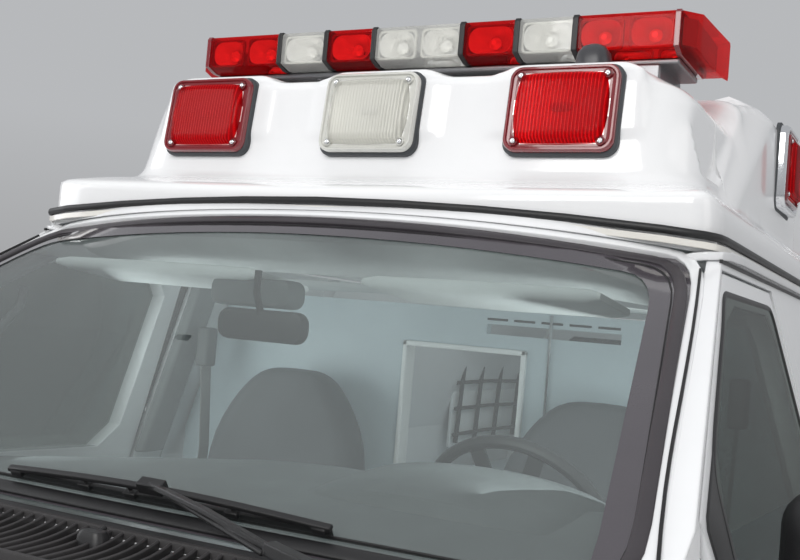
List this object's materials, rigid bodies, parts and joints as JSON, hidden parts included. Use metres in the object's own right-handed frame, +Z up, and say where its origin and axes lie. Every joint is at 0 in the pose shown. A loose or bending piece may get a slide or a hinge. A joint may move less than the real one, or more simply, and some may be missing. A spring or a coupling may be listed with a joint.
{
  "type": "van ambulance with raised roof",
  "caption": "White van ambulance with raised roof, roof lamps and light bar, hollow cab and patient room, opening doors and hood, steered front wheels and turning road wheels",
  "frame": {"origin": "on the ground under the middle of the whole vehicle's box", "axes": "+X to the vehicle's left, +Y to its rear, +Z up; it drives towards -Y"},
  "size_m": [2.336, 5.4, 2.493],
  "materials": {
    "white_paint": "satin gloss white paint on steel and glass-fibre",
    "window_glass": "tinted safety glass",
    "black_rubber": "matte black rubber",
    "black_plastic": "grained black plastic",
    "red_lens": "ribbed red lens",
    "clear_lens": "ribbed clear lens",
    "bar_aluminium": "extruded aluminium",
    "grey_plastic": "grained dark grey plastic",
    "seat_vinyl": "dark vinyl",
    "room_panel": "pale blue-grey laminate",
    "floor_steel": "grey floor covering on steel",
    "chassis_steel": "black chassis paint",
    "engine_iron": "cast iron and aluminium",
    "bumper_chrome": "chrome plate",
    "tyre_rubber": "black tyre rubber",
    "rim_steel": "white painted steel wheel"
  },
  "bodies": {
    "van": {"bulkhead": "room_panel", "cab_frame": "white_paint", "cab_trim": "grey_plastic", "cowl_panel": "black_plastic", "dash": "grey_plastic", "engine_block": "engine_iron", "exhaust": "chassis_steel", "floor_pan": "floor_steel", "frame_rails": "chassis_steel", "front_axle": "chassis_steel", "front_bumper": "bumper_chrome", "front_end": "white_paint", "fuel_tank": "chassis_steel", "grille": "black_plastic", "headlamps": "clear_lens", "light_bar_base": "bar_aluminium", "light_bar_clear": "clear_lens", "light_bar_red": "red_lens", "patient_furniture": "room_panel", "raised_roof": "white_paint", "rear_axle": "chassis_steel", "rear_bumper": "bumper_chrome", "rear_frame": "white_paint", "roof_lamps_clear": "clear_lens", "roof_lamps_red": "red_lens", "seats": "seat_vinyl", "side_wall_left": "white_paint", "side_wall_right": "white_paint", "side_window_left": "window_glass", "tail_lamps": "red_lens", "windshield": "window_glass", "windshield_seal": "black_rubber", "wipers": "black_plastic"},
    "wheel_front_left": {"tyre_front_left": "tyre_rubber", "rim_front_left": "rim_steel"},
    "wheel_front_right": {"tyre_front_right": "tyre_rubber", "rim_front_right": "rim_steel"},
    "wheel_rear_left": {"tyre_rear_left": "tyre_rubber", "rim_rear_left": "rim_steel"},
    "wheel_rear_right": {"tyre_rear_right": "tyre_rubber", "rim_rear_right": "rim_steel"},
    "left_knuckle": {"knuckle_left": "chassis_steel"},
    "right_knuckle": {"knuckle_right": "chassis_steel"},
    "left_front_door": {"door_front_left": "white_paint", "door_glass_front_left": "window_glass", "mirror_left": "black_plastic"},
    "right_front_door": {"door_front_right": "white_paint", "door_glass_front_right": "window_glass", "mirror_right": "black_plastic"},
    "front_side_door": {"side_door_front": "white_paint", "side_door_glass_front": "window_glass"},
    "rear_side_door": {"side_door_rear": "white_paint", "side_door_glass_rear": "window_glass"},
    "left_rear_door": {"rear_door_left": "white_paint", "rear_door_glass_left": "window_glass"},
    "right_rear_door": {"rear_door_right": "white_paint", "rear_door_glass_right": "window_glass"},
    "hood_lid": {"hood": "white_paint"},
    "steering": {"steering_wheel": "black_plastic"}
  },
  "joints": [
    {"name": "steer_left", "type": "hinge", "parent": "van", "child": "left_knuckle", "pos_m": [0.785, -1.975, 0.387], "axis": [0, 0, 1], "range_deg": [-33, 33]},
    {"name": "steer_right", "type": "hinge", "parent": "van", "child": "right_knuckle", "pos_m": [-0.785, -1.975, 0.387], "axis": [0, 0, 1], "range_deg": [-33, 33]},
    {"name": "steering_turn", "type": "hinge", "parent": "van", "child": "steering", "pos_m": [0.425, -0.96, 1.43], "axis": [0, 0.8829, 0.4695], "range_deg": [-495, 495]},
    {"name": "roll_front_left", "type": "hinge", "parent": "left_knuckle", "child": "wheel_front_left", "pos_m": [0.881, -1.975, 0.387], "axis": [1, 0, 0], "continuous": true},
    {"name": "roll_front_right", "type": "hinge", "parent": "right_knuckle", "child": "wheel_front_right", "pos_m": [-0.881, -1.975, 0.387], "axis": [1, 0, 0], "continuous": true},
    {"name": "roll_rear_left", "type": "hinge", "parent": "van", "child": "wheel_rear_left", "pos_m": [0.851, 1.53, 0.387], "axis": [1, 0, 0], "continuous": true},
    {"name": "roll_rear_right", "type": "hinge", "parent": "van", "child": "wheel_rear_right", "pos_m": [-0.851, 1.53, 0.387], "axis": [1, 0, 0], "continuous": true},
    {"name": "left_front_door_swing", "type": "hinge", "parent": "van", "child": "left_front_door", "pos_m": [1.016, -1.487, 1.2], "axis": [0, 0, -1], "range_deg": [0, 65]},
    {"name": "right_front_door_swing", "type": "hinge", "parent": "van", "child": "right_front_door", "pos_m": [-1.016, -1.487, 1.2], "axis": [0, 0, 1], "range_deg": [0, 65]},
    {"name": "front_side_door_swing", "type": "hinge", "parent": "van", "child": "front_side_door", "pos_m": [-1.016, -0.377, 1.2], "axis": [0, 0, 1], "range_deg": [0, 90]},
    {"name": "rear_side_door_swing", "type": "hinge", "parent": "van", "child": "rear_side_door", "pos_m": [-1.016, 0.767, 1.2], "axis": [0, 0, -1], "range_deg": [0, 90]},
    {"name": "left_rear_door_swing", "type": "hinge", "parent": "van", "child": "left_rear_door", "pos_m": [0.887, 2.572, 1.2], "axis": [0, 0, -1], "range_deg": [0, 90]},
    {"name": "right_rear_door_swing", "type": "hinge", "parent": "van", "child": "right_rear_door", "pos_m": [-0.887, 2.572, 1.2], "axis": [0, 0, 1], "range_deg": [0, 90]},
    {"name": "hood_lift", "type": "hinge", "parent": "van", "child": "hood_lid", "pos_m": [0, -1.991, 1.485], "axis": [-1, 0, 0], "range_deg": [0, 50]}
  ],
  "couplings": [
    {"joint": "steer_right", "follows": "steer_left", "ratio": 1},
    {"joint": "steering_turn", "follows": "steer_left", "ratio": 15}
  ]
}
